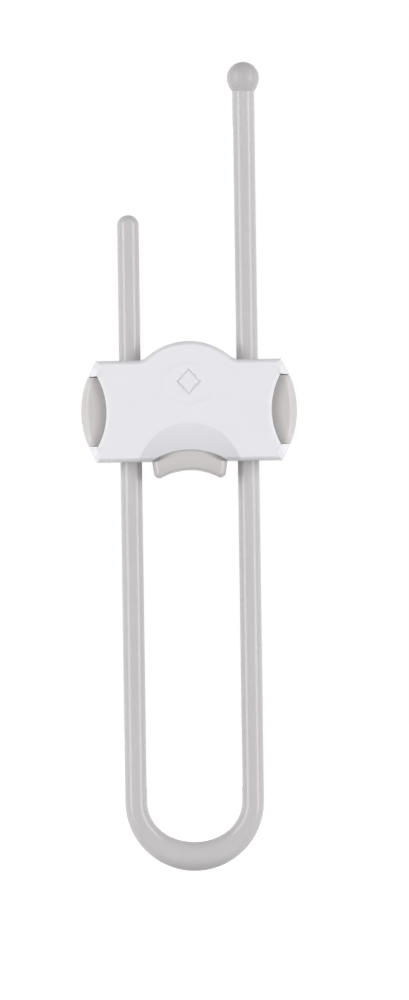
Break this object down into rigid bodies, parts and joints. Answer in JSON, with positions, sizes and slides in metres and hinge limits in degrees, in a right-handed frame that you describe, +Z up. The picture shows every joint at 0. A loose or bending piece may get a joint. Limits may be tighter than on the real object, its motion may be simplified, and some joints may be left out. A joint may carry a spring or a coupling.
{
  "type": "cabinet safety lock",
  "caption": "U-shaped sliding cabinet lock: a long and a short leg of round rod, a ball stop, and a white housing with side buttons and a push tab that runs on both legs.",
  "frame": {"origin": "centre of the rod's bend, midway between the legs and on the rod's own plane", "axes": "+X from the short leg to the long leg, +Y from the front face to the back, +Z up along the legs"},
  "size_m": [0.071, 0.022, 0.267],
  "materials": {
    "grey_rod": "smooth glossy moulded plastic",
    "grey_ball": "satin moulded plastic",
    "white_shell": "fine satin moulded plastic",
    "grey_button": "smooth moulded plastic",
    "latch_plastic": "natural acetal",
    "screw_steel": "zinc plated",
    "spring_steel": "drawn wire",
    "pin_steel": "ground"
  },
  "bodies": {
    "shackle": {"shackle_rod": "grey_rod", "ball_stop": "grey_ball"},
    "housing": {"front_cover": "white_shell", "rear_cover": "white_shell", "cover_screws": "screw_steel", "left_button_spring": "spring_steel", "right_button_spring": "spring_steel", "tab_spring": "spring_steel", "left_pawl_spring": "spring_steel", "right_pawl_spring": "spring_steel", "pawl_pins": "pin_steel"},
    "left_squeeze": {"left_button": "grey_button", "left_latch": "latch_plastic"},
    "right_squeeze": {"right_button": "grey_button", "right_latch": "latch_plastic"},
    "tab": {"release_tab": "grey_button"},
    "left_catch": {"left_pawl": "latch_plastic"},
    "right_catch": {"right_pawl": "latch_plastic"}
  },
  "joints": [
    {"name": "housing_slide", "type": "slide", "parent": "shackle", "child": "housing", "axis": [0, 0, 1], "range_m": [-0.111, 0.087]},
    {"name": "left_press", "type": "slide", "parent": "housing", "child": "left_squeeze", "axis": [1, 0, 0], "range_m": [0, 0.0025], "stiffness_N_per_m": 900, "springref_m": -0.003, "deforming": ["left_button_spring"]},
    {"name": "right_press", "type": "slide", "parent": "housing", "child": "right_squeeze", "axis": [-1, 0, 0], "range_m": [0, 0.0025], "stiffness_N_per_m": 900, "springref_m": -0.003, "deforming": ["right_button_spring"]},
    {"name": "tab_push", "type": "slide", "parent": "housing", "child": "tab", "axis": [0, 0, 1], "range_m": [0, 0.002], "stiffness_N_per_m": 700, "springref_m": -0.002, "deforming": ["tab_spring"]},
    {"name": "left_catch_turn", "type": "hinge", "parent": "housing", "child": "left_catch", "pos_m": [-0.0115, 0, 0.1224], "axis": [0, -1, 0], "range_deg": [0, 16], "deforming": ["left_pawl_spring"]},
    {"name": "right_catch_turn", "type": "hinge", "parent": "housing", "child": "right_catch", "pos_m": [0.0115, 0, 0.1224], "axis": [0, 1, 0], "range_deg": [0, 16], "deforming": ["right_pawl_spring"]}
  ],
  "couplings": [
    {"joint": "left_catch_turn", "follows": "tab_push", "rad_per_m": 135},
    {"joint": "right_catch_turn", "follows": "tab_push", "rad_per_m": 135}
  ]
}
